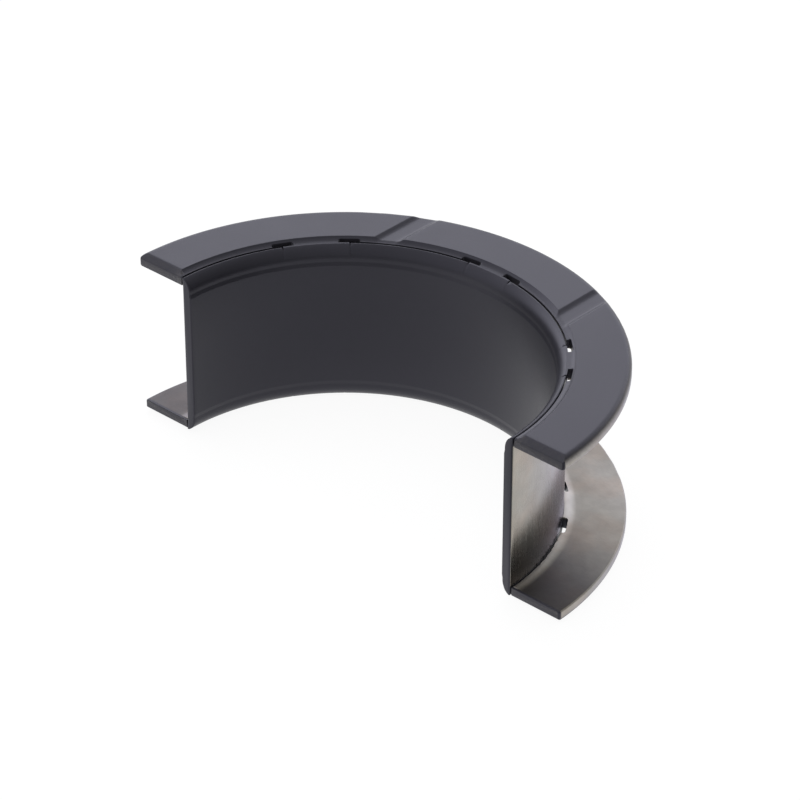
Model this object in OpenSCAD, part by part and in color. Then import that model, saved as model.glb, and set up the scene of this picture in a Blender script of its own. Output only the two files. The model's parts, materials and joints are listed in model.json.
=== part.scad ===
// Flanged main bearing half shell, assembled type.
// A half cylinder carries one loose half-ring thrust flange at each end.
// The bore axis is Z, the parting plane is Y = 0, the crown points to +Y,
// and the origin is on the axis at half length.

/* [Half shell] */
// Diameter of the bore that runs on the journal
bore_d = 83; // [70:0.5:100]
// Wall between the bore and the back
wall = 2.2; // [1.8:0.1:3]
// Length over the two thrust faces
overall_len = 37.2; // [30:0.1:50]
// How far each end of the shell lies below the thrust face
shell_sink = 0.7; // [0.3:0.05:1]
// Radius of the rounded relief at each bore edge
relief_r = 3.2; // [2.4:0.1:6]
// Depth of the shallow step where that relief starts
relief_step = 0.16; // [0.05:0.01:0.3]
// Length of the step's slope
step_slope = 0.85; // [0.4:0.05:1.2]
// Length of the straight band between that slope and the round
step_band = 0.5; // [0.2:0.05:1]
// Land left on the shell's end outside the relief, with its edge break
end_land = 0.35; // [0.3:0.05:0.8]
// Edge break where the shell's ends meet its back
back_edge = 0.25; // [0.05:0.05:0.25]
// Edge break of the joint faces on the bore side
joint_bore_edge = 0.3; // [0.1:0.05:0.5]
// Edge break of the joint faces on the back
joint_back_edge = 0.4; // [0.1:0.05:0.6]

/* [Thrust flange] */
// Outer diameter of the flange
flange_od = 112; // [104:0.5:130]
// Thickness of the flange
flange_t = 2.6; // [2:0.1:3.5]
// Gap between the shell's back and the flange
seam_gap = 0.3; // [0.2:0.05:0.6]
// Radius of the rim's edge on the thrust face
rim_r = 1.2; // [0.5:0.1:1.5]
// Radius of the rim's edge on the steel side
rim_edge_r = 0.4; // [0.1:0.05:0.8]
// Radial width of the hollow cove along the inner edge
cove_w = 1.3; // [0.6:0.1:1.6]
// Depth of that cove at the inner edge
cove_h = 0.65; // [0.3:0.05:0.7]
// Radius of the cove's hollow
cove_r = 1.9; // [1.6:0.1:4]
// How far the flange's ends stand back from the parting plane
end_setback = 0.15; // [0.05:0.05:0.5]
// Length of the sloping relief at each end of the thrust face
end_relief_len = 1.4; // [0.8:0.1:4]
// Depth of that relief at the end
end_relief_h = 0.85; // [0.3:0.05:1.2]
// Radius of the outer corners at the ends
corner_r = 0.4; // [0.2:0.1:3]

/* [Oil grooves] */
// Angle from the crown to each oil groove, at the middle of the flange
groove_angle = 27.6; // [22:0.2:31]
// Flat width of the groove's floor
groove_floor_w = 2.4; // [1.5:0.1:4]
// Depth of the groove
groove_depth = 0.5; // [0.3:0.05:1]
// Radius of the groove's sides
groove_side_r = 1.8; // [1.2:0.1:3]

/* [Clinch tabs] */
// Angle from the crown to each outer tab
tab_angle = 50; // [47:0.5:54]
// Width of the crown tab and of one outer tab
narrow_tab_w = 10.6; // [9:0.1:13]
// Width of the other outer tab
wide_tab_w = 13.5; // [11:0.1:15]
// Side clearance of a tab in the shell's recess
tab_slit = 0.05; // [0.03:0.01:0.4]
// Flare at the mouth of that recess
slit_flare = 0.35; // [0.1:0.05:0.6]
// Length of the notch at each side of a tab
notch_len = 4.5; // [3:0.1:5.5]
// How far the notch cuts into the flange
notch_depth = 0.8; // [0.4:0.1:1.5]
// Corner radius of the notch
notch_r = 0.5; // [0.2:0.1:0.6]
// Width of the pressed bead at the root of a tab
bead_w = 2.2; // [1:0.1:4]
// Height of that bead
bead_h = 0.6; // [0.3:0.1:1]

/* [Hidden] */
$fn = 180;
coat_colour = "#55535c";
steel_colour = "#8f8c88";
bore_r = bore_d / 2;
back_r = bore_r + wall;
flange_r = flange_od / 2;
flange_bore_r = back_r + seam_gap;
thrust_z = overall_len / 2;
flange_z = thrust_z - flange_t;
shell_z = thrust_z - shell_sink;
relief_depth = wall - end_land;
round_depth = relief_depth - relief_step;
round_len = sqrt(round_depth * (2 * relief_r - round_depth));
groove_x = (flange_bore_r + flange_r) / 2 * sin(groove_angle);
tab_places = [90 - tab_angle, 90, 90 + tab_angle];
tab_widths = [narrow_tab_w, narrow_tab_w, wide_tab_w];
tab_count = len(tab_places);
bead_gap = 0.05;
over = 1;

// Half-angle that a width takes up on the shell's back
function half_angle(width) = asin(width / 2 / back_r);

// Corner cut off an outline: a diamond whose half diagonal is the edge break
module edge_break(size) {
    rotate(45) square(size * sqrt(2), center = true);
}

// Waste at one bore edge: a shallow slope, a straight band, then the corner
// outside an arc of radius relief_r that ends on the shell's end
module bore_relief() {
    band_r = bore_r + relief_step;
    outer_r = bore_r + relief_depth;
    round_z = shell_z - round_len;
    slope_z = round_z - step_band;
    difference() {
        polygon([
            [bore_r - over, slope_z - step_slope],
            [bore_r, slope_z - step_slope],
            [band_r, slope_z],
            [band_r, round_z],
            [outer_r, round_z],
            [outer_r, shell_z + over],
            [bore_r - over, shell_z + over],
        ]);
        translate([band_r + relief_r, round_z]) circle(relief_r);
    }
}

// Section of the shell's wall, before the recesses
module shell_profile() {
    difference() {
        translate([bore_r, -shell_z]) square([wall, 2 * shell_z]);
        for (end = [0, 1]) mirror([0, end]) {
            bore_relief();
            translate([back_r, shell_z]) edge_break(back_edge);
        }
    }
}

// Bar as wide as tab i, from inside the bore to beyond the shell's back
module tab_bar(i, clearance) {
    width = tab_widths[i] + 2 * clearance;
    rotate(tab_places[i])
        translate([bore_r - over, -width / 2, flange_z])
            cube([wall + seam_gap + 2 * over, width, flange_t + over]);
}

// Recess for tab i in the shell's end, flared at its mouth
module tab_recess(i) {
    half = tab_widths[i] / 2 + tab_slit;
    mouth = half + slit_flare + over;
    tab_bar(i, tab_slit);
    rotate(tab_places[i])
        translate([bore_r - over, 0, shell_z])
            rotate([90, 0, 90])
                linear_extrude(wall + seam_gap + 2 * over)
                    polygon([
                        [-half, -slit_flare],
                        [half, -slit_flare],
                        [mouth, over],
                        [-mouth, over],
                    ]);
}

module half_shell() {
    color(coat_colour)
    difference() {
        rotate_extrude(angle = 180) shell_profile();
        for (turn = [0, 180], i = [0 : tab_count - 1])
            rotate([0, turn, 0]) tab_recess(i);
        for (side = [-1, 1])
            translate([0, 0, -thrust_z]) linear_extrude(overall_len) {
                translate([side * bore_r, 0]) edge_break(joint_bore_edge);
                translate([side * back_r, 0]) edge_break(joint_back_edge);
            }
    }
}

// Waste above the cove: a circle through both of the cove's edges
module inner_cove() {
    chord = norm([cove_w, cove_h]);
    rise = sqrt(cove_r * cove_r - chord * chord / 4);
    middle = [flange_bore_r + cove_w / 2, thrust_z - cove_h / 2];
    translate(middle + rise / chord * [-cove_h, cove_w]) circle(cove_r);
}

// Waste outside a rounded corner at the origin, with the body below left
module corner_round(radius) {
    difference() {
        translate([-radius, -radius]) square(radius + over);
        translate([-radius, -radius]) circle(radius);
    }
}

// Section of the flange's ring
module flange_profile() {
    difference() {
        translate([flange_bore_r, flange_z])
            square([flange_r - flange_bore_r, flange_t]);
        translate([flange_r, thrust_z]) corner_round(rim_r);
        translate([flange_r, flange_z]) mirror([0, 1]) corner_round(rim_edge_r);
        inner_cove();
    }
}

// Section of a tab: the shell's own section and the bridge across the seam
module tab_profile() {
    inner = back_r - end_land / 2;
    outer = flange_bore_r + end_land / 2;
    shell_profile();
    polygon([
        [inner, flange_z],
        [outer, flange_z],
        [outer, thrust_z - cove_h],
        [flange_bore_r, thrust_z - cove_h],
        [inner, shell_z],
    ]);
}

module tab(i) {
    intersection() {
        rotate_extrude(angle = 180) tab_profile();
        tab_bar(i, 0);
    }
}

// Pressed bead on the steel side, along the root of tab i
module tab_bead(i) {
    reach = half_angle(tab_widths[i] - notch_len);
    inner = back_r + bead_gap;
    rotate(tab_places[i] - reach)
        rotate_extrude(angle = 2 * reach)
            polygon([
                [inner, flange_z + bead_h],
                [inner, flange_z - bead_h],
                [flange_bore_r + bead_w, flange_z],
                [flange_bore_r + bead_w, flange_z + bead_h],
            ]);
}

// Notch across one side of tab i, with rounded outer corners
module notch(i, side) {
    inner = back_r + bead_gap;
    depth = flange_bore_r + notch_depth - inner;
    rotate(tab_places[i] + side * half_angle(tab_widths[i]))
        translate([inner, 0, flange_z - bead_h - over])
            linear_extrude(flange_t + bead_h + 2 * over) {
                translate([0, -notch_len / 2])
                    square([depth - notch_r, notch_len]);
                translate([0, notch_r - notch_len / 2])
                    square([depth, notch_len - 2 * notch_r]);
                for (end = [-1, 1])
                    translate([depth - notch_r, end * (notch_len / 2 - notch_r)])
                        circle(notch_r);
            }
}

// Round-sided oil groove across the thrust face
module oil_groove(side) {
    run = flange_r + over;
    translate([side * groove_x, 0, thrust_z - groove_depth]) {
        translate([-groove_floor_w / 2, 0, 0])
            cube([groove_floor_w, run, groove_depth + over]);
        for (edge = [-1, 1])
            translate([edge * groove_floor_w / 2, 0, groove_side_r])
                rotate([-90, 0, 0]) cylinder(r = groove_side_r, h = run);
    }
}

// Slope at both ends of the thrust face
module end_relief() {
    start = end_setback + end_relief_len;
    fall = end_relief_h / end_relief_len;
    rotate([90, 0, 90])
        translate([0, 0, -flange_r - over])
            linear_extrude(2 * (flange_r + over))
                polygon([
                    [start, thrust_z],
                    [-over, thrust_z - fall * (start + over)],
                    [-over, thrust_z + over],
                    [start, thrust_z + over],
                ]);
}

// Waste outside the rounded outer corner, on the +X end
module end_corner() {
    reach = flange_r - corner_r;
    centre_y = end_setback + corner_r;
    centre_x = sqrt(reach * reach - centre_y * centre_y);
    tangent_y = centre_y * flange_r / reach;
    translate([0, 0, flange_z - over])
        linear_extrude(flange_t + 2 * over)
            difference() {
                translate([centre_x, -over])
                    square([corner_r + over, tangent_y + over]);
                translate([centre_x, centre_y]) circle(corner_r);
            }
}

// One thrust flange, lying at the upper end of the shell
module thrust_flange() {
    difference() {
        union() {
            rotate_extrude(angle = 180) flange_profile();
            for (i = [0 : tab_count - 1]) {
                tab(i);
                tab_bead(i);
            }
        }
        for (i = [0 : tab_count - 1], side = [-1, 1]) notch(i, side);
        for (side = [-1, 1]) oil_groove(side);
        end_relief();
        for (end = [0, 1]) mirror([end, 0, 0]) end_corner();
        translate([-flange_r - over, -over, flange_z - over])
            cube([2 * (flange_r + over), over + end_setback, flange_t + 2 * over]);
    }
}

module upper_thrust_flange() {
    color(coat_colour) thrust_flange();
}

// The same flange, turned over
module lower_thrust_flange() {
    color(steel_colour) rotate([0, 180, 0]) thrust_flange();
}

half_shell();
upper_thrust_flange();
lower_thrust_flange();
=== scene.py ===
# %% [markdown]
# # A flanged main bearing half shell
# The real part is a thin half cylinder of steel strip with a coated bore. A loose half-ring thrust flange
# sits at each end, held by three small tabs that are clinched into recesses in the shell's edge. The
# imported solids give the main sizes, and the pieces are drawn again here as fine numpy grids. A grid can
# carry the smallest edge radii, which catch the light and are left out of the solids.

# %% Load the fixed frame
import json
import math

import bmesh
import bpy
import numpy as np
from mathutils import Matrix, Vector


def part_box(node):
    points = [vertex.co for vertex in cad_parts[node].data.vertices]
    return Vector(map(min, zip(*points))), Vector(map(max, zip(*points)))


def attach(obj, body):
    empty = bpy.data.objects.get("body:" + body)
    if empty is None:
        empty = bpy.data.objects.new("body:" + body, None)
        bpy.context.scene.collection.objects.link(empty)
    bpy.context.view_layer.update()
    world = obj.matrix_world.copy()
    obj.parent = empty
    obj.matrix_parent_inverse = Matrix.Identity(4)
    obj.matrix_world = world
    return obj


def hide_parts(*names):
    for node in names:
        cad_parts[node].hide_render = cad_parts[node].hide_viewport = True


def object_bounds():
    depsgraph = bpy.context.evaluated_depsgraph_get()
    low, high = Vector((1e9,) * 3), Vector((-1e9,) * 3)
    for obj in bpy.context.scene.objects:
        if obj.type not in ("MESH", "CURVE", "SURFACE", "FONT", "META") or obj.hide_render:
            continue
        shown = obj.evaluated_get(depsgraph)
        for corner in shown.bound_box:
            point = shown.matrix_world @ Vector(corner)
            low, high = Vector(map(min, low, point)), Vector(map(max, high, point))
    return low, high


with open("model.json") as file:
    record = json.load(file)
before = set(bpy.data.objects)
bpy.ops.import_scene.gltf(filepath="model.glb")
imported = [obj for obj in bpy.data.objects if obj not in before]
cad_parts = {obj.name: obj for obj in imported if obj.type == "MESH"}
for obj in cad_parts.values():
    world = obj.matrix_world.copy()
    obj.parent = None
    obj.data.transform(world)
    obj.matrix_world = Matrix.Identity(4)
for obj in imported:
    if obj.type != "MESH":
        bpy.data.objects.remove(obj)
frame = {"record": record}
cad_low, cad_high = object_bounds()
print("CAD box in mm:", [round(v * 1000, 2) for v in (*cad_low, *cad_high)])

# %% [markdown]
# ## Sizes
# A bearing is drawn from few sizes: the bore, the back, the flange and the length. They are read from the
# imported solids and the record, so the looks can't drift away from the construction. The smaller ones,
# such as the flange's thickness, the seam and the edge radii, are written once, in millimetres.

# %% Main sizes, in millimetres
MM = 0.001
# Radii closer than this count as the same one.
NEAR = 0.01
mounts = {m["name"]: m for m in frame["record"]["mounts"]}
shell_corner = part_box("half_shell")[1] / MM
flange_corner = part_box("upper_thrust_flange")[1] / MM

bore_r = mounts["journal_bore"]["dims"]["r_mm"]
back_r = round(shell_corner.y, 3)
shell_z = round(shell_corner.z, 3)
flange_r = round(flange_corner.y, 3)
thrust_z = round(flange_corner.z, 3)

flange_t = 2.6
seam_gap = 0.3
flange_z = thrust_z - flange_t
flange_bore_r = back_r + seam_gap
print(f"bore {bore_r}, back {back_r}, flange {flange_bore_r:.2f} to {flange_r}")
print(f"flange faces at {flange_z} and {thrust_z}")

# %% Sizes of the clinch tabs
tab_places = np.radians([40, 90, 140])
tab_widths = np.array([10.6, 10.6, 13.5])
# The solids keep a slit of 0.05 here; the clinch squeezes it to a hair, which only shows at its flare.
tab_slit = 0.015
slit_flare = 0.35
notch_len = 4.5
notch_depth = 0.8
notch_r = 0.5
bead_gap = 0.05
bead_h = 0.6
bead_w = 2.2
neck_r = back_r + bead_gap
notch_floor = flange_bore_r + notch_depth


def half_angle(width):
    """Half of the angle that a width takes up on the shell's back: arcsin(width / 2 / back radius)."""
    return np.arcsin(width / 2 / back_r)


print("tabs at", np.degrees(tab_places).round(1).tolist(), "degrees, widths", tab_widths.tolist())

# %% [markdown]
# ## Outlines
# Both pieces are turned shapes, so each starts as a closed outline in (radius, height). Real edges are
# never sharp: each corner gets a small arc. Blender's Bevel modifier could round the finished mesh, but
# on a mesh with many short edges it shrinks the radius to the shortest one, so the arcs are worked out in
# the outline itself.

# %% Helpers for outlines
# Keeps a division from failing, and a comparison from missing by a rounding error.
GUARD = 1e-9


def circle_centre(start, end, radius):
    """Centre of the circle of that radius through both points, to the right of the way from start to
    end."""
    start = np.array(start, float)
    chord = np.array(end, float) - start
    length = np.hypot(*chord)
    right = np.array([chord[1], -chord[0]]) / length
    return start + chord / 2 + right * math.sqrt(radius ** 2 - length ** 2 / 4)


def unit(vectors):
    """Vectors divided by their lengths; a vector with no length stays as it is."""
    length = np.linalg.norm(vectors, axis=-1, keepdims=True)
    return vectors / np.where(length > GUARD, length, 1)


def rounded(points, radii, steps=6):
    """Closed outline with round corners. A circle touches both sides of a corner at radius / tan(half the
    corner's angle) from it, and its arc is cut into equal steps. A corner of radius 0 stays a single
    point."""
    before = unit(np.roll(points, 1, 0) - points)
    after = unit(np.roll(points, -1, 0) - points)
    half = np.arccos(np.clip((before * after).sum(1), -1, 1)) / 2
    reach = (radii / np.tan(half))[:, None]
    centre = points + unit(before + after) * (radii / np.sin(half))[:, None]
    turn = np.maximum(np.pi - 2 * half, GUARD)[:, None]
    share = np.linspace(0, 1, steps + 1)[None]
    first = (np.sin((1 - share) * turn) / np.sin(turn))[..., None]
    last = (np.sin(share * turn) / np.sin(turn))[..., None]
    arcs = centre[:, None] + first * (points + before * reach - centre)[:, None]
    arcs = arcs + last * (points + after * reach - centre)[:, None]
    kept = (radii > 0)[:, None] | (np.arange(steps + 1) == 0)
    return arcs[kept]


def inward(outline):
    """Unit vectors that point into a closed outline: its tangents turned to the side of its area."""
    ahead = np.roll(outline, -1, 0)
    tangent = unit(ahead - np.roll(outline, 1, 0))
    area = (outline[:, 0] * ahead[:, 1] - ahead[:, 0] * outline[:, 1]).sum()
    return np.stack([-tangent[:, 1], tangent[:, 0]], -1) * np.sign(area)


def smooth_step(x):
    """0 below 0, 1 above 1, and 3x^2 - 2x^3 between them."""
    x = np.clip(x, 0, 1)
    return x * x * (3 - 2 * x)


# %% The shell's outline
end_land = 0.35
relief_depth = back_r - bore_r - end_land
relief_r = 3.2
relief_step = 0.16
step_slope = 0.85
step_band = 0.5
crease_round = 1.2
land_edge = 0.3
back_edge = 0.22
# Width of the border on the back, beside a flange, where the coat gives way to bare steel.
coat_border = 0.06
band_r = bore_r + relief_step
round_depth = relief_depth - relief_step
round_z = shell_z - math.sqrt(round_depth * (2 * relief_r - round_depth))
slope_z = round_z - step_band
crease_z = slope_z - step_slope


def relief_curve(low, high, count):
    """Points of the round at a bore edge: radius = centre - sqrt(relief radius^2 - (height - its
    start)^2)."""
    height = np.linspace(low, high, count)
    radius = band_r + relief_r - np.sqrt(relief_r ** 2 - (height - round_z) ** 2)
    return np.stack([radius, height], -1)


def column(radius, heights):
    """Points one above the other at one radius."""
    return np.stack([np.full(len(heights), radius), heights], -1)


def shell_outline():
    """Bore, step, relief, land and back of the upper half, then the same of the lower half in reverse
    order."""
    bore = column(bore_r, np.linspace(0, crease_z, 9)[:-1])
    step = np.array([[bore_r, crease_z], [band_r, slope_z]])
    relief = np.concatenate([relief_curve(round_z, flange_z, 6), relief_curve(flange_z, shell_z, 16)[1:]])
    back = column(back_r, np.concatenate([[shell_z, flange_z], np.linspace(flange_z - coat_border, 0, 9)]))
    upper = np.concatenate([bore, step, relief, back])
    land = len(bore) + len(step) + len(relief)
    radii = np.zeros(len(upper))
    radii[len(bore):len(bore) + 2] = crease_round
    radii[land - 1:land + 1] = land_edge, back_edge
    lower = upper[-2:0:-1] * [1, -1]
    return rounded(np.concatenate([upper, lower]), np.concatenate([radii, radii[-2:0:-1]]))


shell_loop = shell_outline()
print("points round the shell's section:", len(shell_loop))

# %% [markdown]
# ## Rows
# A plain half cylinder needs only rows at equal angles. Here some rows have to follow straight edges: the
# joint faces, the sides of the recesses and notches, and the oil grooves. Each of them is a straight line
# parallel to some radius, so one formula gives the angle at which a row crosses each radius of the
# outline.

# %% Helpers for rows
def line_angle(centre, offset, radius):
    """Angle where a line, parallel to the radius at angle centre and offset to its left, crosses each
    radius: centre + arcsin(offset / radius)."""
    return centre + np.arcsin(np.clip(offset / radius, -1, 1))


def sweep(angle, radius, height):
    """Points of a turned shape: (radius cos angle, radius sin angle, height), in metres."""
    return np.stack([radius * np.cos(angle), radius * np.sin(angle), height], -1) * MM


def strip_faces(rows, loop, start=0):
    """Four-cornered faces between neighbouring rows of closed loops, as an array (rows - 1, loop, 4)."""
    row = np.arange(rows - 1)[:, None] * loop
    here = np.arange(loop)[None]
    ahead = (here + 1) % loop
    return np.stack([row + here, row + ahead, row + loop + ahead, row + loop + here], -1) + start


def caps(rows, loop, start=0):
    """The two end faces of a strip: its first and its last loop."""
    first = np.arange(loop) + start
    return [first[::-1].tolist(), (first + (rows - 1) * loop).tolist()]


# %% Make a closed piece from points and faces
SHARP_ANGLE = math.radians(38)
MERGE_GAP = 2e-6


def make_piece(name, points, faces, masks):
    """Mesh object from arrays: doubled rows are merged, faces turned outwards, flat end faces kept
    flat."""
    mesh = bpy.data.meshes.new(name)
    mesh.from_pydata(points, [], faces)
    for label, values in masks.items():
        mesh.attributes.new(label, "FLOAT", "POINT").data.foreach_set("value", values.astype(np.float32))
    work = bmesh.new()
    work.from_mesh(mesh)
    bmesh.ops.remove_doubles(work, verts=work.verts, dist=MERGE_GAP)
    bmesh.ops.dissolve_degenerate(work, edges=work.edges, dist=MERGE_GAP / 2)
    bmesh.ops.recalc_face_normals(work, faces=work.faces)
    open_edges = sum(not e.is_manifold for e in work.edges)
    for face in work.faces:
        face.smooth = len(face.verts) <= 4
    volume = work.calc_volume()
    work.to_mesh(mesh)
    work.free()
    mesh.set_sharp_from_angle(angle=SHARP_ANGLE)
    piece = bpy.data.objects.new(name, mesh)
    bpy.context.scene.collection.objects.link(piece)
    print(f"{name}: {len(mesh.polygons)} faces, {open_edges} open edges, {volume * 1e9:.1f} mm3")
    return piece


# %% [markdown]
# ## The half shell
# The shell's edge has three recesses at each end, where the flange's tabs go in. On a grid a recess is
# simple: between its two side lines the outline is cut off at the recess floor, and beside them at the
# flare of its mouth. The row on each side line is there twice, with both cuts, and the faces between the
# two are the recess's side wall.

# %% Rows of the half shell
row_step = math.radians(1.0)
joint_bore_edge = 0.3
joint_back_edge = 0.4
joint_end_edge = 0.1
joint_end_len = 0.5
joint_end_fade = 1.2
joint_steps = 5

recess_half = tab_widths / 2 + tab_slit
upper_recess = np.stack([tab_places, recess_half], -1)
lower_recess = np.stack([np.pi - tab_places, recess_half], -1)
print("recesses in each edge of the shell:", len(upper_recess))


def joint_edge(outline):
    """Edge break of the joint face at each outline point: wider on the back, narrow at both ends."""
    side = np.where(outline[:, 0] > back_r - NEAR, joint_back_edge, joint_bore_edge)
    inside = smooth_step((shell_z - joint_end_len - np.abs(outline[:, 1])) / joint_end_fade)
    return joint_end_edge + (side - joint_end_edge) * inside


def shell_key_lines():
    """Side lines of all recesses and of their flares from right to left, each once."""
    recesses = np.concatenate([upper_recess, lower_recess])
    lines = {(c, side * (w + more)) for c, w in recesses for side in (-1, 1) for more in (0, slit_flare)}
    return sorted(lines, key=lambda line: line_angle(*line, back_r))


def cut_depth(angles, recesses):
    """Depth of the recesses at some angles: full between the side lines, falling to 0 across the
    flares."""
    beside = np.abs(back_r * np.sin(angles[:, None] - recesses[:, 0])) - recesses[:, 1]
    depth = np.where(beside < 0, shell_z - flange_z, np.clip(slit_flare - beside, 0, None))
    return depth.max(1)


def shell_grid():
    """Angles, radii and heights of all rows, from the right joint face to the left one."""
    radius, height = shell_loop.T
    edge = joint_edge(shell_loop)
    into = inward(shell_loop)
    turn = np.linspace(0, np.pi / 2, joint_steps)[:, None]
    inset_r = radius + into[:, 0] * edge * (1 - np.sin(turn))
    inset_z = height + into[:, 1] * edge * (1 - np.sin(turn))
    from_joint = edge * (1 - np.cos(turn))
    angles = [line_angle(0, from_joint, inset_r)]
    radii = [inset_r]
    heights = [inset_z]
    lines = [(0, edge), *shell_key_lines(), (np.pi, -edge)]
    for a, b in zip(lines, lines[1:]):
        start, end = line_angle(*a, radius), line_angle(*b, radius)
        count = max(2, math.ceil((end - start).max() / row_step) + 1)
        at_back = line_angle(a[0], np.max(a[1]), back_r), line_angle(b[0], np.min(b[1]), back_r)
        # A thousandth of the way inside both lines, where the depth has only one value.
        just_inside = np.linspace(*at_back, 1001)[[1, -2]]
        share = np.linspace(0, 1, count)
        top = shell_z - np.interp(share, [0, 1], cut_depth(just_inside, upper_recess))
        bottom = shell_z - np.interp(share, [0, 1], cut_depth(just_inside, lower_recess))
        angles.append(np.linspace(start, end, count))
        radii.append(np.tile(radius, (count, 1)))
        heights.append(np.clip(height, -bottom[:, None], top[:, None]))
    angles.append(line_angle(np.pi, -from_joint[::-1], inset_r[::-1]))
    radii.append(inset_r[::-1])
    heights.append(inset_z[::-1])
    return np.concatenate(angles), np.concatenate(radii), np.concatenate(heights)


# %% Make the half shell
coated_steps = 3
back_bright = 0.85
shell_angle, shell_radius, shell_height = shell_grid()
shell_rows, shell_count = shell_angle.shape
in_flange = np.abs(shell_loop[:, 1]) > flange_z - coat_border / 2
on_coat = (shell_loop[:, 0] < back_r - coat_border) | in_flange
shell_coat = np.tile(on_coat.astype(float), (shell_rows, 1))
shell_coat[:coated_steps] = 1
shell_coat[-coated_steps:] = 1
no_mask = np.zeros(shell_coat.size)
shell_masks = {
    "coat": shell_coat.ravel(),
    "bright": no_mask + back_bright,
    "haze": no_mask,
    "swell": no_mask,
}

half_shell = make_piece(
    "bearing_half_shell",
    sweep(shell_angle, shell_radius, shell_height).reshape(-1, 3),
    strip_faces(shell_rows, shell_count).reshape(-1, 4).tolist() + caps(shell_rows, shell_count),
    shell_masks,
)

# %% [markdown]
# ## The thrust flange
# The flange is a half ring with a flat thrust face, a rounded rim and a hollow cove along the inner edge.
# Two oil grooves cross the face, and both ends slope down so that oil can get in. All of these only lower
# the face, so the height of a point is the least of several surfaces: a smooth minimum also rounds the
# lips between them.

# %% The flange's outline
rim_r = 1.2
rim_edge_r = 0.4
cove_w = 1.3
cove_h = 0.65
cove_r = 1.9
cove_edge_r = 0.1
cove_low = thrust_z - cove_h
cove_top_r = flange_bore_r + cove_w
bead_r = flange_bore_r + bead_w
cove_centre = circle_centre((cove_top_r, thrust_z), (flange_bore_r, cove_low), cove_r)
shelf_start_r = back_r - end_land / 2
wall_points = 6


def cove_height(radius):
    """Hollow of the cove: centre height - sqrt(cove radius^2 - (radius - centre radius)^2)."""
    return cove_centre[1] - np.sqrt(cove_r ** 2 - (radius - cove_centre[0]) ** 2)


def shelf_height(radius):
    """Straight slope from the shell's end up to the foot of the cove, on top of a tab's neck."""
    share = (radius - shelf_start_r) / (flange_bore_r - shelf_start_r)
    return shell_z + (cove_low - shell_z) * share


def straight(start, end, count):
    """Even steps between two points or two numbers, without the two themselves."""
    return np.linspace(start, end, count + 2)[1:-1]


face_cove = (cove_top_r, thrust_z)
face_radii = np.array([0.3, 2, 4, 6, 8, 9.2]) + cove_top_r
rim_top = (flange_r, thrust_z)
rim_foot = (flange_r, flange_z)


def ring_outline():
    """Neck wall, shelf, cove, thrust face, rim and steel face, back to the neck wall. The last point
    doubles the first one, so that the bead can press it down while the wall above it stays."""
    shelf_r = np.linspace(neck_r, flange_bore_r, 6)[1:-1]
    low_cove_r = np.linspace(flange_bore_r, notch_floor, 10)
    cove_radii = np.concatenate([low_cove_r, np.linspace(notch_floor, cove_top_r, 8)[1:-1]])
    runs = [
        (column(neck_r, np.linspace(flange_z, shelf_height(neck_r), wall_points)), 0),
        (np.stack([shelf_r, shelf_height(shelf_r)], -1), 0),
        (np.stack([cove_radii, cove_height(cove_radii)], -1), 0),
        (np.array([face_cove]), cove_edge_r),
        (np.stack([face_radii, np.full(len(face_radii), thrust_z)], -1), 0),
        (np.array([rim_top]), rim_r),
        (np.array([rim_foot]), rim_edge_r),
        (straight((flange_r - rim_edge_r, flange_z), (bead_r, flange_z), 8), 0),
        (np.linspace((bead_r, flange_z), (neck_r, flange_z), 14)[:-1], 0),
    ]
    points = np.concatenate([run for run, _ in runs])
    radii = np.concatenate([np.full(len(run), float(r)) for run, r in runs])
    return np.concatenate([rounded(points, radii, steps=10), [[neck_r, flange_z]]])


ring_loop = ring_outline()
print("points round the flange's section:", len(ring_loop))

# %% Surfaces that lower the thrust face
groove_angle = math.radians(27.6)
groove_x = (flange_bore_r + flange_r) / 2 * math.sin(groove_angle)
groove_floor_w = 2.4
groove_depth = 0.5
groove_side_r = 1.8
groove_arc_share = 0.98
groove_wall_slope = 9
groove_turn = math.acos(1 - groove_depth / groove_side_r)
end_setback = 0.15
end_relief_len = 1.4
end_relief_h = 0.85
ramp_start = end_setback + end_relief_len
groove_lip = 0.3
end_lip = 0.15
end_round = 0.35
ramp_turn = math.atan(end_relief_h / end_relief_len)
end_round_y = end_setback + end_round
ramp_drop = (ramp_start - end_round_y) * math.tan(ramp_turn)
end_round_z = thrust_z - ramp_drop - end_round / math.cos(ramp_turn)


def groove_height(x):
    """Flat floor with round sides: each side is an arc that leaves the floor level and rises past the
    face, and then a steep wall."""
    beside = np.clip(np.abs(np.abs(x) - groove_x) - groove_floor_w / 2, 0, None)
    inside = np.minimum(beside, groove_side_r * groove_arc_share)
    rise = groove_side_r - np.sqrt(groove_side_r ** 2 - inside ** 2)
    return thrust_z - groove_depth + rise + (beside - inside) * groove_wall_slope


def ramp_height(y):
    """Straight slope at both ends of the thrust face, then an arc that touches the slope and the end
    face."""
    slope = thrust_z - (ramp_start - y) * math.tan(ramp_turn)
    arc = end_round_z + np.sqrt(np.clip(end_round ** 2 - (y - end_round_y) ** 2, 0, None))
    return np.where(y < end_round_y - end_round * math.sin(ramp_turn), arc, slope)


def smooth_min(a, b, blend):
    """Least of two heights, with their crossing rounded over the blend."""
    h = np.clip(0.5 + 0.5 * (b - a) / blend, 0, 1)
    return b * (1 - h) + a * h - blend * h * (1 - h)


print(f"grooves {groove_x:.2f} to both sides of the crown, {groove_depth} deep")

# %% [markdown]
# ## Rows of the flange
# From right to left the rows pass the right end, three tabs with a notch at each side, two grooves and
# the left end. A row lies on one line, or between two lines by some share, and knows how far in it may
# reach: the notches cut the ring back, and the necks let it run on into the tabs. So the whole ring is
# one table with a line for each row.

# %% Helpers for the flange's rows
end_edge = 0.08
end_row_count = 18
end_lip_rows = np.array([0.06, 0.15, 0.4])
groove_lip_rows = np.array([0.06, 0.13, 0.22, 0.36])
neck_count = 13
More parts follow.
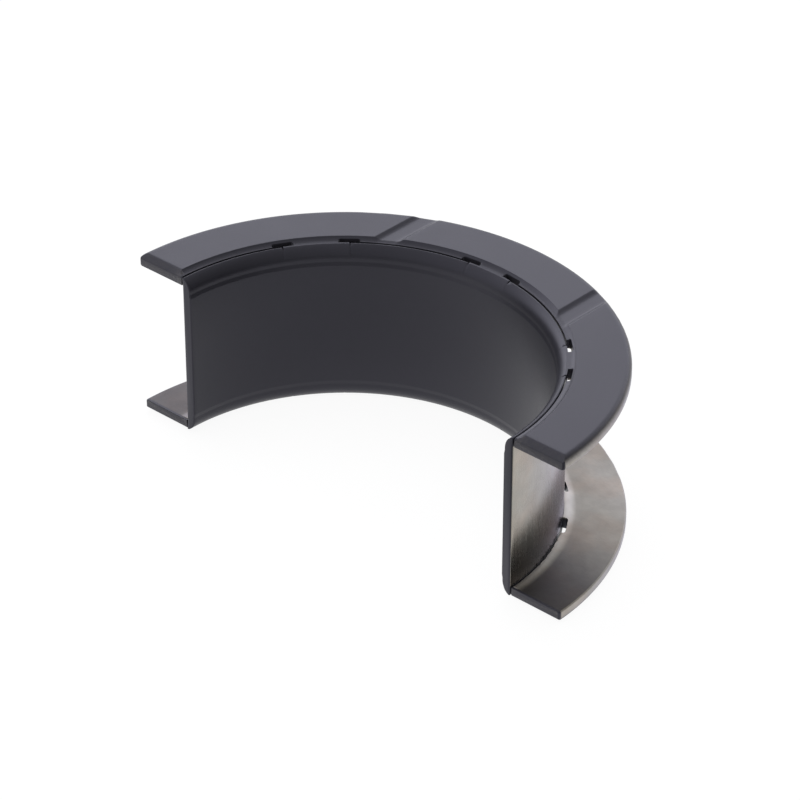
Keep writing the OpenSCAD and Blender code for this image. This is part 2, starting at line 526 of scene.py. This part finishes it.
# Column of the rows' table that holds the share of the bead.
BEAD = 6
FAR = 99.0


def on_lines(centre, offsets, reach=flange_bore_r, bead=0, inset=0, end_y=FAR):
    """Rows that lie on lines parallel to one radius. The columns are the centre angle and the offset of a
    line, the same of a second line, the share between both, the reach, the bead, the inset and the
    distance from the parting plane."""
    offsets = np.asarray(offsets, float)
    cells = [centre, offsets, centre, offsets, 0, reach, bead, inset, end_y]
    return np.stack(np.broadcast_arrays(*cells), -1)


def between(a, b, count, reach=flange_bore_r, bead=0):
    """Rows spread evenly between the last row of one band and the first row of the next."""
    cells = [*a[-1, :2], *b[0, :2], np.linspace(0, 1, count), reach, bead, 0, FAR]
    return np.stack(np.broadcast_arrays(*cells), -1)


def notch_rows(place, width, side):
    """Rows across one notch: a flat floor whose two outer corners are arcs. The tab's bead fades out
    across it."""
    half = notch_len / 2
    turn = np.linspace(0, np.pi / 2, 5)
    corner_t = half - notch_r + notch_r * np.cos(turn)
    corner_x = notch_floor - notch_r + notch_r * np.sin(turn)
    floor_t = straight(notch_r - half, half - notch_r, 7)
    t = np.concatenate([-corner_t, floor_t, corner_t[::-1]])
    x = np.concatenate([corner_x, np.full(len(floor_t), notch_floor), corner_x[::-1]])
    from_neck = (t * side + half) / notch_len
    return on_lines(place + side * half_angle(width), t, np.hypot(x, t), 1 - smooth_step(from_neck))


def groove_rows(side):
    """Rows along one oil groove, from its right lip to its left one, closest together on the curved
    sides."""
    turn = np.linspace(0, groove_turn, 8)
    across = groove_floor_w / 2 + groove_side_r * np.sin(turn)
    lips = across[-1] + groove_lip_rows
    half = np.concatenate([[0, groove_floor_w / 4], across, lips])
    offsets = np.concatenate([-half[:0:-1], half]) - side * groove_x
    return on_lines(np.pi / 2, offsets)


def end_rows():
    """Rows of the right end, closest together at the end face, where every edge is round."""
    beyond = end_relief_len + end_lip_rows
    in_from_end = np.concatenate([end_relief_len * np.linspace(0, 1, end_row_count) ** 2, beyond])
    inset = end_edge - np.sqrt(end_edge ** 2 - np.clip(end_edge - in_from_end, 0, None) ** 2)
    y = end_setback + in_from_end
    return on_lines(0, y, inset=inset, end_y=y)


def left_end(rows):
    """The right end's rows, turned to the left end."""
    turned = rows[::-1].copy()
    turned[:, [0, 2]] = np.pi
    turned[:, [1, 3]] *= -1
    return turned


def flange_rows():
    """All rows of the ring, and for each row the number of the tab whose neck it is in, or -1."""
    right = end_rows()
    bands = [right]
    for i, (place, width) in enumerate(zip(tab_places, tab_widths)):
        bands += [notch_rows(place, width, -1), notch_rows(place, width, 1)]
        if i < len(tab_places) - 1:
            bands.append(groove_rows(1 - 2 * i))
    bands.append(left_end(right))
    rows, necks = [bands[0]], [np.full(len(bands[0]), -1)]
    tab = 0
    for a, b in zip(bands, bands[1:]):
        gap = line_angle(*b[0, :2], back_r) - line_angle(*a[-1, :2], back_r)
        in_neck = a[-1, BEAD] > 0.5
        count = neck_count if in_neck else max(2, math.ceil(gap / row_step) + 1)
        filler = between(a, b, count, 0 if in_neck else flange_bore_r, 1 if in_neck else 0)
        rows += [filler, b]
        necks += [np.full(count, tab if in_neck else -1), np.full(len(b), -1)]
        tab += in_neck
    return np.concatenate(rows), np.concatenate(necks)


ring_rows, ring_neck = flange_rows()
print("rows along the flange:", len(ring_rows))

# %% Points of the flange's ring
corner_r = 0.4
corner_y = end_setback + corner_r
corner_x = math.sqrt((flange_r - corner_r) ** 2 - corner_y ** 2)
corner_end_y = corner_y * flange_r / (flange_r - corner_r)
corner_from_r = 53.0
inner_round = 0.08


def corner_loss(y):
    """How much shorter the ring is near its end, where a circle rounds the outer corner."""
    x = corner_x + np.sqrt(np.clip(corner_r ** 2 - (corner_y - y) ** 2, 0, None))
    return np.where(y < corner_end_y, flange_r - np.hypot(x, y), 0)


def ring_points(rows):
    """Radius: the outline's, not less than the row's reach, drawn in at the corner. Height: the
    outline's, lowered by grooves and end slopes, and pressed down by the beads on the steel face."""
    c_a, t_a, c_b, t_b, share, reach, bead, inset, end_y = rows.T[:, :, None]
    into = inward(ring_loop)
    radius = ring_loop[:, 0] + into[:, 0] * inset
    height = ring_loop[:, 1] + into[:, 1] * inset
    radius = -smooth_min(-radius, -reach, inner_round)
    radius = np.where(reach < neck_r, ring_loop[:, 0], radius)
    at_rim = smooth_step((ring_loop[:, 0] - corner_from_r) / (flange_r - rim_r - corner_from_r))
    radius = radius - corner_loss(end_y) * at_rim
    angle = (1 - share) * line_angle(c_a, t_a, radius) + share * line_angle(c_b, t_b, radius)
    lowered = smooth_min(height, groove_height(radius * np.cos(angle)), groove_lip)
    lowered = smooth_min(lowered, ramp_height(radius * np.sin(angle)), end_lip)
    on_steel = ring_loop[:, 1] < flange_z + GUARD
    on_steel[0] = False
    pressed = bead_h * bead * (1 - smooth_step((radius - neck_r) / (bead_r - neck_r)))
    return sweep(angle, radius, lowered - np.where(on_steel, pressed, 0))


ring = ring_points(ring_rows)
print("ring reaches", round(np.linalg.norm(ring[..., :2], axis=-1).max() / MM, 3), "mm from the axis")

# %% [markdown]
# ## The tabs
# A tab is a short bar with the shell's own rounded section, so that the relief runs on across it. It
# joins the ring only at its neck. Both grids have the same points on the neck's wall, so that wall is
# left out of both, and merging the doubles makes one closed piece of ring and tabs.

# %% The tab's outline and rows
tab_edge = 0.02
tab_steps = 4


def tab_outline():
    """The neck's wall upwards, the sloping top, the rounded relief downwards and the flat bottom."""
    wall = column(neck_r, np.linspace(flange_z, shelf_height(neck_r), wall_points))
    top = np.array([[shelf_start_r, shell_z], [bore_r + relief_depth, shell_z]])
    relief = relief_curve(flange_z, shell_z, 12)[-2::-1]
    bottom = straight(relief[-1], wall[0], 3)
    points = np.concatenate([wall, top, relief, bottom])
    radii = np.zeros(len(points))
    radii[wall_points + 1] = land_edge
    return rounded(points, radii)


tab_loop = tab_outline()
print("points round a tab's section:", len(tab_loop))


def tab_points(place, neck_angles, width):
    """Rows across one tab: rounded side edges, and rows on the neck at the ring's own angles."""
    turn = np.linspace(0, np.pi / 2, tab_steps)
    edge_t = width / 2 - tab_edge * (1 - np.cos(turn))
    neck_t = neck_r * np.sin(neck_angles - place)
    wing_t = np.linspace(edge_t[-1], neck_t[-1], 6)[1:-1]
    t = np.concatenate([-edge_t, -wing_t, neck_t, wing_t[::-1], edge_t[::-1]])[:, None]
    side_inset = tab_edge * (1 - np.sin(turn))
    inset = np.concatenate([side_inset, np.zeros(len(t) - 2 * tab_steps), side_inset[::-1]])[:, None]
    into = inward(tab_loop)
    radius = tab_loop[:, 0] + into[:, 0] * inset
    height = tab_loop[:, 1] + into[:, 1] * inset
    in_neck = np.zeros(len(t), bool)
    first = tab_steps + len(wing_t)
    in_neck[first:first + len(neck_t)] = True
    return sweep(line_angle(place, t, radius), radius, height), in_neck


# %% [markdown]
# ## Where the finishes lie
# On the real flange the coat is sprayed on the thrust side and fades out round the rim, while the cut rim
# and the beads are bright steel; a painted highlight brightens the steel along the bore edge and on the
# outer part of the steel face. Such masks could be painted as images on an unwrapped mesh. Here each point
# of the grid knows its row and its place on the outline, so a mask is a value for each point, and the mesh
# carries it as an attribute.

# %% Coat mask of the ring
upper_fade = (16.2, 19.1)
lower_fade = (17.2, 18.45)
steel_edge = 0.1
end_coat = 0.73
end_coat_len = 0.3
end_coat_fade = 0.5
slope_coat = 0.74
slope_margin = 0.1
slope_low = 0.05


def ring_coat(fade):
    """Share of the coat: it thins out round the rim between the two heights of the fade, runs over the
    ends, and is lowered to a set share on the end slopes and end faces."""
    radius, height = ring_loop.T
    coated = np.interp(height, fade, [0, 1])
    coated[(radius < flange_r - rim_r + NEAR) & (height > flange_z + steel_edge)] = 1
    coated[:wall_points] = 1
    from_end = ring[..., 1] / MM - end_setback
    coat = np.maximum(coated, 1 - np.clip((from_end - end_coat_len) / end_coat_fade, 0, 1))
    on_slope = (from_end < end_relief_len - slope_margin) & (height > cove_low + slope_low)
    coat = np.where(on_slope, slope_coat, coat)
    coat[from_end[:, 0] < GUARD] = end_coat
    return coat


# %% Steel masks of the ring
cut_rim_w = 0.3
cut_rim_fade = 0.15
rim_bright = 0.85
# Painted highlight: share of bright steel along the flange's bore edge, outside the beads.
painted_edge_highlight = 0.56
bead_flat = 0.8
bead_fade = 2.2
bead_clear = 0.85
haze_from = 5.0
haze_to = 31.0
# Painted highlight on the outer part of the steel face: its level, the radii it rises over, its place from
# the parting plane and its spread.
painted_sheen_level = 0.4
painted_sheen_radii = (46.0, 54.0)
painted_sheen_place = 40.0
painted_sheen_spread = 7.0


def ring_masks(fade):
    """Coat; bright steel on the cut rim and the beads, and a painted highlight along the bore edge and on
    the outer part of the steel face; haze near the ends; and the swell along the bore. The painted highlight
    on the outer part is a bell curve over the distance from the parting plane."""
    radius = ring_loop[:, 0]
    from_parting = ring[..., 1] / MM
    in_bead = ring_rows[:, BEAD, None]
    cut_rim = np.clip((radius - flange_r + cut_rim_w) / cut_rim_fade, 0, 1)
    bead = 1 - smooth_step((radius - neck_r - bead_flat) / bead_fade)
    # Bright steel on the cut rim and the beads, and a painted highlight along the bore edge.
    bright = np.maximum(rim_bright * cut_rim, bead * np.maximum(in_bead, painted_edge_highlight))
    # Painted highlight: the outer part of the steel face is brightened in a bell curve round its place.
    outer = np.interp(radius, painted_sheen_radii, [0, painted_sheen_level])
    painted_sheen_share = outer * np.exp(-((from_parting - painted_sheen_place) / painted_sheen_spread) ** 2)
    haze = 1 - smooth_step((from_parting - haze_from) / (haze_to - haze_from))
    haze = haze * (1 - cut_rim) * (1 - bead_clear * bead)
    near_bore = 1 - smooth_step((radius - neck_r) / (bead_r - neck_r))
    swell = near_bore * (1 - in_bead)
    return {"coat": ring_coat(fade), "bright": np.maximum(bright, painted_sheen_share), "haze": haze, "swell": swell}


# %% Join the ring and its tabs
def open_wall(faces, in_neck):
    """Faces of a strip without those on the neck's wall: the first segments of the loop, between two neck
    rows."""
    both = in_neck[:-1] & in_neck[1:]
    kept = np.ones(faces.shape[:2], bool)
    kept[:, :wall_points - 1] = ~both[:, None]
    return faces[kept]


def thrust_flange_arrays(fade):
    """Points, faces and masks of one flange: the ring first, then its three tabs, which are coated all
    over."""
    count = len(ring_loop)
    points = [ring.reshape(-1, 3)]
    faces = open_wall(strip_faces(len(ring), count), ring_neck >= 0).tolist() + caps(len(ring), count)
    masks = {label: [values.ravel()] for label, values in ring_masks(fade).items()}
    start = points[0].shape[0]
    for i, (place, width) in enumerate(zip(tab_places, tab_widths)):
        wall = ring[ring_neck == i][:, 0]
        tab, in_neck = tab_points(place, np.arctan2(wall[:, 1], wall[:, 0]), width)
        rows = len(tab)
        points.append(tab.reshape(-1, 3))
        faces += open_wall(strip_faces(rows, len(tab_loop), start), in_neck).tolist()
        faces += caps(rows, len(tab_loop), start)
        for label, values in masks.items():
            values.append(np.full(rows * len(tab_loop), float(label == "coat")))
        start += rows * len(tab_loop)
    return np.concatenate(points), faces, {label: np.concatenate(m) for label, m in masks.items()}


flange_points, flange_faces, flange_masks = thrust_flange_arrays(upper_fade)
upper_flange = make_piece("thrust_flange_upper", flange_points, flange_faces, flange_masks)
half_turn = np.array([-1.0, 1.0, -1.0])
flange_points, flange_faces, flange_masks = thrust_flange_arrays(lower_fade)
lower_flange = make_piece("thrust_flange_lower", flange_points * half_turn, flange_faces, flange_masks)

# %% [markdown]
# ## Finishes
# The running faces carry a dark satin polymer coat over the bearing metal. The back of the shell and the
# inner faces of the flanges are bare rolled steel. Rims and pressed beads are brighter, a painted highlight
# brightens the flange's bore edge and the outer part of a steel face halfway between its ends and the
# crown, and near the ends a thin haze of the sprayed coat dulls the steel. On the end faces and end slopes
# the coat's share is lowered, so some bare steel mixes in, and on the upper flange the coat thins out
# further down the rim than on the lower one. One image texture for each piece could hold all this, but
# node groups stay sharp at any distance, and the shell and the flanges share them.
# The masks on the mesh say where each finish is. The flange's steel face also swells a little along the
# bore; that is too shallow for the solids, so a bump shows it.

# %% Helpers for node trees
WHITE = (1, 1, 1, 1)
# Most values of a noise texture lie in this range.
NOISE_RANGE = (0.3, 0.7)


def add(tree, kind, inputs=None, **settings):
    """A node of that kind, with its settings first and then its unlinked input values."""
    node = tree.nodes.new(kind)
    for key, value in settings.items():
        setattr(node, key, value)
    for key, value in (inputs or {}).items():
        node.inputs[key].default_value = value
    return node


def wire(tree, *pairs):
    """Links output sockets to input sockets."""
    for source, target in pairs:
        tree.links.new(source, target)


def new_group(name, inputs, outputs):
    """Empty shader node group with named sockets: (name, type, default)."""
    group = bpy.data.node_groups.new(name, "ShaderNodeTree")
    for label, kind, default in inputs:
        socket = group.interface.new_socket(label, in_out="INPUT", socket_type=kind)
        if default is not None:
            socket.default_value = default
    for label, kind in outputs:
        group.interface.new_socket(label, in_out="OUTPUT", socket_type=kind)
    return group, add(group, "NodeGroupInput"), add(group, "NodeGroupOutput")


def noise(tree, vector, scale, detail=2.0, roughness=0.5):
    """Noise texture on a vector; returns its value socket."""
    node = add(tree, "ShaderNodeTexNoise", {"Scale": scale, "Detail": detail, "Roughness": roughness})
    wire(tree, (vector, node.inputs["Vector"]))
    return node.outputs["Fac"]


def remap(tree, value, low, high, to_low, to_high):
    """Stretches a range of values onto another one, clamped."""
    cells = {"From Min": low, "From Max": high, "To Min": to_low, "To Max": to_high}
    node = add(tree, "ShaderNodeMapRange", cells)
    wire(tree, (value, node.inputs["Value"]))
    return node.outputs["Result"]


def maths(tree, operation, a, b):
    """Math node on sockets or plain numbers."""
    node = add(tree, "ShaderNodeMath", operation=operation)
    for slot, value in zip(node.inputs, (a, b)):
        if isinstance(value, bpy.types.NodeSocket):
            wire(tree, (value, slot))
        else:
            slot.default_value = value
    return node.outputs[0]


def mix_colour(tree, share, a, b, blend="MIX"):
    """Mix of two colours, given as sockets or as plain colours."""
    node = add(tree, "ShaderNodeMix", data_type="RGBA", blend_type=blend)
    for slot, value in zip((node.inputs[0], node.inputs[6], node.inputs[7]), (share, a, b)):
        if isinstance(value, bpy.types.NodeSocket):
            wire(tree, (value, slot))
        else:
            slot.default_value = value
    return node.outputs[2]


def shaded(tree, colour, shade):
    """A colour times a grey shade."""
    grey = add(tree, "ShaderNodeCombineColor")
    wire(tree, *[(shade, grey.inputs[i]) for i in range(3)])
    return mix_colour(tree, 1.0, colour, grey.outputs[0], "MULTIPLY")


# %% Satin coat group
def satin_coat_group():
    """Dark satin coat: a cloudy tone and a fine grain."""
    group, source, target = new_group(
        "satin_coat",
        [("Vector", "NodeSocketVector", None), ("Base", "NodeSocketColor", None)],
        [("Colour", "NodeSocketColor"), ("Roughness", "NodeSocketFloat"), ("Height", "NodeSocketFloat")],
    )
    vector = source.outputs["Vector"]
    clouds = noise(group, vector, scale=90, detail=4, roughness=0.6)
    grain = noise(group, vector, scale=5200, detail=2, roughness=0.6)
    colour = shaded(group, source.outputs["Base"], remap(group, clouds, *NOISE_RANGE, 0.93, 1.07))
    fine = remap(group, grain, *NOISE_RANGE, -0.03, 0.03)
    rough = maths(group, "ADD", remap(group, clouds, *NOISE_RANGE, 0.36, 0.40), fine)
    wire(
        group,
        (colour, target.inputs["Colour"]),
        (rough, target.inputs["Roughness"]),
        (grain, target.inputs["Height"]),
    )
    return group


satin_coat = satin_coat_group()
print("group made:", satin_coat.name)

# %% Bare steel group
dull_steel = (0.24, 0.229, 0.19, 1)
# Colour of bright steel on cut and pressed parts, also used for the painted highlights.
bright_and_highlight_steel = (0.39, 0.376, 0.338, 1)
hazed_steel = (0.113, 0.11, 0.099, 1)
tarnish_tint = (1.03, 0.96, 0.92, 1)


def bare_steel_group():
    """Rolled strip steel: fine streaks along the vector's stretched axis, cloudy stains and a brown tarnish.
    It is dull, bright where it is cut or pressed and where a highlight is painted, and darker under the haze
    of the coat."""
    group, source, target = new_group(
        "bare_steel",
        [
            ("Streak Vector", "NodeSocketVector", None),
            ("Vector", "NodeSocketVector", None),
            ("Bright", "NodeSocketFloat", 0.0),
            ("Haze", "NodeSocketFloat", 0.0),
            ("Satin", "NodeSocketFloat", 0.35),
        ],
        [("Colour", "NodeSocketColor"), ("Roughness", "NodeSocketFloat"), ("Height", "NodeSocketFloat")],
    )
    streaks = noise(group, source.outputs["Streak Vector"], scale=3600, detail=3, roughness=0.65)
    stains = noise(group, source.outputs["Vector"], scale=260, detail=5, roughness=0.65)
    tarnish = noise(group, source.outputs["Vector"], scale=110, detail=3, roughness=0.6)
    base = mix_colour(group, source.outputs["Bright"], dull_steel, bright_and_highlight_steel)
    base = mix_colour(group, source.outputs["Haze"], base, hazed_steel)
    brown = mix_colour(group, remap(group, tarnish, 0.4, 0.65, 0, 1), WHITE, tarnish_tint)
    warm = mix_colour(group, 1.0, base, brown, "MULTIPLY")
    lines = remap(group, streaks, *NOISE_RANGE, 0.93, 1.05)
    shade = maths(group, "MULTIPLY", lines, remap(group, stains, *NOISE_RANGE, 1.06, 0.92))
    colour = shaded(group, warm, shade)
    fine = remap(group, streaks, *NOISE_RANGE, -0.03, 0.04)
    cloudy = remap(group, stains, *NOISE_RANGE, -0.03, 0.03)
    rough = maths(group, "ADD", source.outputs["Satin"], maths(group, "ADD", fine, cloudy))
    wire(
        group,
        (colour, target.inputs["Colour"]),
        (rough, target.inputs["Roughness"]),
        (streaks, target.inputs["Height"]),
    )
    return group


bare_steel = bare_steel_group()
print("group made:", bare_steel.name)

# %% Coated steel material
gloss_tint = (0.85, 0.84, 1.0, 1)
swell_height = 0.5 * MM
grain_height = 0.02 * MM


def coated_steel(name, coat_colour, streak_scale, satin):
    """Coat over bare steel. The mesh's coat mask, roughened by noise, picks between the two groups'
    colour, roughness and height; the coat is a dielectric, and the steel a metal."""
    material = bpy.data.materials.new(name)
    material.use_nodes = True
    tree = material.node_tree
    tree.nodes.clear()
    place = add(tree, "ShaderNodeTexCoord").outputs["Object"]
    stretch = add(tree, "ShaderNodeMapping", {"Scale": streak_scale})
    masks = {
        label: add(tree, "ShaderNodeAttribute", attribute_name=label).outputs["Fac"]
        for label in ("coat", "bright", "haze", "swell")
    }
    coat = add(tree, "ShaderNodeGroup", {"Base": coat_colour}, node_tree=satin_coat)
    steel = add(tree, "ShaderNodeGroup", {"Satin": satin}, node_tree=bare_steel)
    wire(
        tree,
        (place, stretch.inputs["Vector"]),
        (place, coat.inputs["Vector"]),
        (stretch.outputs["Vector"], steel.inputs["Streak Vector"]),
        (place, steel.inputs["Vector"]),
        (masks["bright"], steel.inputs["Bright"]),
        (masks["haze"], steel.inputs["Haze"]),
    )
    spots = noise(tree, place, scale=1500, detail=3, roughness=0.6)
    ragged = remap(tree, spots, *NOISE_RANGE, -0.05, 0.05)
    mask = remap(tree, maths(tree, "ADD", masks["coat"], ragged), 0.2, 0.8, 0, 1)
    bare = maths(tree, "SUBTRACT", 1.0, mask)
    mixed = []
    for label in ("Roughness", "Height"):
        coat_share = maths(tree, "MULTIPLY", mask, coat.outputs[label])
        mixed.append(maths(tree, "ADD", coat_share, maths(tree, "MULTIPLY", bare, steel.outputs[label])))
    rough, height = mixed
    colour = mix_colour(tree, mask, steel.outputs["Colour"], coat.outputs["Colour"])
    swollen = add(tree, "ShaderNodeBump", {"Strength": 1.0, "Distance": swell_height})
    grained = add(tree, "ShaderNodeBump", {"Strength": 0.35, "Distance": grain_height})
    shader = add(tree, "ShaderNodeBsdfPrincipled", {"IOR": 1.5, "Specular Tint": gloss_tint})
    output = add(tree, "ShaderNodeOutputMaterial")
    wire(
        tree,
        (maths(tree, "MULTIPLY", masks["swell"], bare), swollen.inputs["Height"]),
        (swollen.outputs["Normal"], grained.inputs["Normal"]),
        (height, grained.inputs["Height"]),
        (colour, shader.inputs["Base Color"]),
        (rough, shader.inputs["Roughness"]),
        (bare, shader.inputs["Metallic"]),
        (grained.outputs["Normal"], shader.inputs["Normal"]),
        (shader.outputs["BSDF"], output.inputs["Surface"]),
    )
    return material


shell_material = coated_steel(
    "shell_coat_and_steel",
    coat_colour=(0.0215, 0.021, 0.0262, 1),
    streak_scale=(1.0, 1.0, 0.03),
    satin=0.25,
)
flange_material = coated_steel(
    "flange_coat_and_steel",
    coat_colour=(0.025, 0.0245, 0.0305, 1),
    streak_scale=(0.3, 1.0, 1.0),
    satin=0.36,
)
print("materials made:", shell_material.name, "and", flange_material.name)

# %% Dress the pieces and put them on the frame
for piece, material, node, slot_name in (
    (half_shell, shell_material, "half_shell", "shell_metal"),
    (upper_flange, flange_material, "upper_thrust_flange", "flange_metal"),
    (lower_flange, flange_material, "lower_thrust_flange", "flange_metal"),
):
    piece.data.materials.append(material)
    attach(piece, "root")
    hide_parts(node)
    print(piece.name, "stands for", node)

# %% [markdown]
# ## Floor and light
# Small metal parts are often photographed on a seamless white sheet in a light tent, with a bright panel
# low behind them. A lit diffuse floor alone is never quite white, so it glows for the camera and for
# reflections, and a small diffuse share keeps the soft contact shadow. In reflections it is dimmer inside
# the bore, which the part itself shades, and towards the photographer. Area lamps could make the tent too,
# but their edges would show in the metal, so the world is the tent: a few dot products of its direction.
# One softbox above adds plain light and stays out of the reflections.

# %% White floor
view_azimuth = math.radians(42.45)
view_elevation = math.radians(32.33)
front = Vector((math.sin(view_azimuth), -math.cos(view_azimuth), 0))
right_axis = Vector((math.cos(view_azimuth), math.sin(view_azimuth), 0))
floor_half = 6.0
floor_gap = 0.02 * MM
floor_z = cad_low.z - floor_gap
floor_mesh = bpy.data.meshes.new("floor")
floor_corners = np.array([[-1, -1], [1, -1], [1, 1], [-1, 1]]) * floor_half
floor_mesh.from_pydata([(x, y, floor_z) for x, y in floor_corners], [], [(0, 1, 2, 3)])
floor = bpy.data.objects.new("floor", floor_mesh)
bpy.context.scene.collection.objects.link(floor)
print(f"floor lies {floor_gap / MM:.2f} mm below the part")

# %% White sheet for the floor
fade_reach = (0.035, 0.07)
faded_level = 0.2
shelter_middle = front * -0.005 - right_axis * 0.012
shelter_reach = (0.016, 0.042)
shelter_level = 0.72
seen_level = 0.93
bounce_grey = (0.8, 0.8, 0.8, 1)
shadow_grey = (0.1, 0.1, 0.1, 1)


def along(tree, vector, axis):
    """How far a vector reaches along an axis: their dot product."""
    node = add(tree, "ShaderNodeVectorMath", {1: axis}, operation="DOT_PRODUCT")
    wire(tree, (vector, node.inputs[0]))
    return node.outputs["Value"]


def floor_material():
    """White sheet: diffuse for light that bounces off it, mostly glowing for the camera and for
    reflections."""
    material = bpy.data.materials.new("white_sheet")
    material.use_nodes = True
    tree = material.node_tree
    tree.nodes.clear()
    place = add(tree, "ShaderNodeTexCoord").outputs["Object"]
    path = add(tree, "ShaderNodeLightPath")
    seen = maths(tree, "MAXIMUM", path.outputs["Is Camera Ray"], path.outputs["Is Glossy Ray"])
    seen = maths(tree, "MAXIMUM", seen, path.outputs["Is Transmission Ray"])
    fading = remap(tree, along(tree, place, front), *fade_reach, 1.0, faded_level)
    middle = (shelter_middle.x, shelter_middle.y, floor_z)
    reach = add(tree, "ShaderNodeVectorMath", {1: middle}, operation="DISTANCE")
    wire(tree, (place, reach.inputs[0]))
    sheltered = remap(tree, reach.outputs["Value"], *shelter_reach, shelter_level, 1.0)
    mirrored = maths(tree, "MULTIPLY", fading, sheltered)
    more = maths(tree, "SUBTRACT", seen_level, mirrored)
    strength = maths(tree, "ADD", mirrored, maths(tree, "MULTIPLY", path.outputs["Is Camera Ray"], more))
    plain = add(tree, "ShaderNodeBsdfDiffuse", {"Color": bounce_grey})
    shadow = add(tree, "ShaderNodeBsdfDiffuse", {"Color": shadow_grey})
    glow = add(tree, "ShaderNodeEmission", {"Color": WHITE})
    both = add(tree, "ShaderNodeAddShader")
    pick = add(tree, "ShaderNodeMixShader")
    output = add(tree, "ShaderNodeOutputMaterial")
    wire(
        tree,
        (strength, glow.inputs["Strength"]),
        (shadow.outputs[0], both.inputs[0]),
        (glow.outputs[0], both.inputs[1]),
        (seen, pick.inputs[0]),
        (plain.outputs[0], pick.inputs[1]),
        (both.outputs[0], pick.inputs[2]),
        (pick.outputs[0], output.inputs["Surface"]),
    )
    return material


floor_mesh.materials.append(floor_material())
print("floor's material:", floor_mesh.materials[0].name)

# %% World: darker to the right of the part, with a band of bright panels low behind it
tent_mean = 0.56
tent_rise = front * -0.07 + right_axis * -0.32
panel_level = 1.7
panel_height = 0.38
panel_band = (0.04, 0.36)
panel_spread = (0.25, 0.72)
panel_turn = math.radians(2)
panel_tint = (0.97, 0.97, 1.06, 1)
tint_levels = (0.3, 1.3)
panel_axis = front * -math.cos(panel_turn) - right_axis * math.sin(panel_turn)
world = bpy.data.worlds.new("studio")
bpy.context.scene.world = world
world.use_nodes = True
sky = world.node_tree
sky.nodes.clear()
direction = add(sky, "ShaderNodeTexCoord").outputs["Generated"]
level = maths(sky, "ADD", along(sky, direction, tent_rise), tent_mean)
above = maths(sky, "SUBTRACT", along(sky, direction, (0, 0, 1)), panel_height)
band = remap(sky, maths(sky, "ABSOLUTE", above, 0), *panel_band, panel_level, 0)
behind = remap(sky, along(sky, direction, panel_axis), *panel_spread, 0, 1)
level = maths(sky, "ADD", level, maths(sky, "MULTIPLY", band, behind))
light_path = add(sky, "ShaderNodeLightPath")
tint = mix_colour(sky, remap(sky, level, *tint_levels, 0, 1), WHITE, panel_tint)
tint = mix_colour(sky, light_path.outputs["Is Camera Ray"], tint, WHITE)
hidden = maths(sky, "SUBTRACT", 1.0, light_path.outputs["Is Camera Ray"])
strength = maths(sky, "ADD", maths(sky, "MULTIPLY", level, hidden), light_path.outputs["Is Camera Ray"])
backdrop = add(sky, "ShaderNodeBackground")
world_output = add(sky, "ShaderNodeOutputWorld")
wire(
    sky,
    (tint, backdrop.inputs["Color"]),
    (strength, backdrop.inputs["Strength"]),
    (backdrop.outputs[0], world_output.inputs["Surface"]),
)
print("world made:", world.name)

# %% Softbox
softbox_size = 0.7
softbox_data = bpy.data.lights.new("softbox", "AREA")
softbox_data.energy = 3.0
softbox_data.shape = "RECTANGLE"
softbox_data.size = softbox_size
softbox_data.size_y = softbox_size
softbox = bpy.data.objects.new("softbox", softbox_data)
softbox_place = Vector((-0.15, 0.35, 0.9))
softbox_turn = softbox_place.to_track_quat("Z", "Y").to_matrix().to_4x4()
softbox.matrix_world = Matrix.Translation(softbox_place) @ softbox_turn
softbox.visible_glossy = False
bpy.context.scene.collection.objects.link(softbox)
print(f"softbox {softbox_place.length:.2f} m from the part")

# %% [markdown]
# ## Camera
# A long lens from above: lines that are parallel on the part stay nearly parallel in the picture. The
# place was found by fitting the outlines of the rims and the bore, so it is written as angles, a distance
# and a shift of the target.

# %% Camera
view_distance = 711.2 * MM
target_right = 11.30 * MM
target_up = 6.32 * MM
target_z = 0.26 * MM
focal_px = 3640
picture_px = 800
sensor_mm = 36

back_axis = front * math.cos(view_elevation) + Vector((0, 0, math.sin(view_elevation)))
up_axis = back_axis.cross(right_axis)
target = right_axis * target_right + up_axis * target_up + Vector((0, 0, target_z))
camera_data = bpy.data.cameras.new("camera")
camera_data.sensor_width = sensor_mm
camera_data.lens = focal_px / picture_px * sensor_mm
camera_data.clip_start = 0.01
camera = bpy.data.objects.new("camera", camera_data)
turned = Matrix((right_axis, up_axis, back_axis)).transposed().to_4x4()
camera.matrix_world = Matrix.Translation(target + back_axis * view_distance) @ turned
bpy.context.scene.collection.objects.link(camera)
bpy.context.scene.camera = camera
bpy.context.scene.view_settings.view_transform = "Standard"
print(f"camera {view_distance / MM:.1f} mm from its target, lens {camera_data.lens:.1f} mm")
